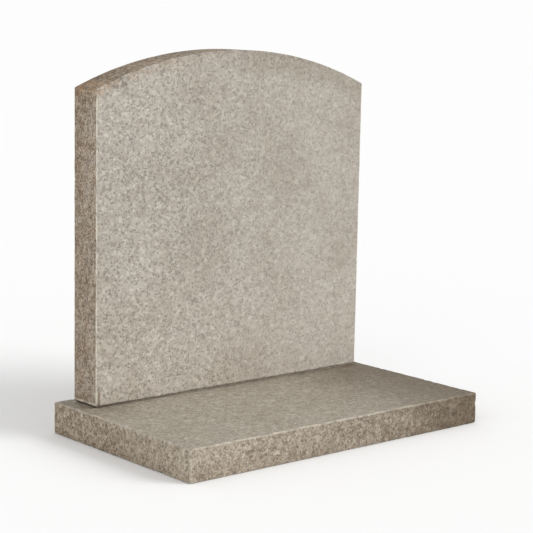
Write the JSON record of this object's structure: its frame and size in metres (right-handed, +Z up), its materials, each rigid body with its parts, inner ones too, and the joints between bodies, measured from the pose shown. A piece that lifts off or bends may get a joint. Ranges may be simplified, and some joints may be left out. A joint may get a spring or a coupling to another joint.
{
  "type": "upright headstone",
  "caption": "Upright granite headstone with a curved crown, bedded near the back of a flat base that leaves a broad ledge in front.",
  "frame": {"origin": "middle of the base's underside", "axes": "+Z up, +X across the width to the viewer's right, the headstone's front face looks along -Y"},
  "size_m": [0.742, 0.44, 0.751],
  "materials": {
    "headstone_granite": "fine-rubbed pale grey-beige granite with salt-and-pepper grain, browner on the edges",
    "base_granite": "the same granite, smooth and greyer on top, coarser and browner on the rims",
    "setting_compound": "dark, dull, weathered compound in a raked joint"
  },
  "bodies": {
    "root": {"base": "base_granite", "setting_bed": "setting_compound", "headstone": "headstone_granite"}
  },
  "joints": []
}
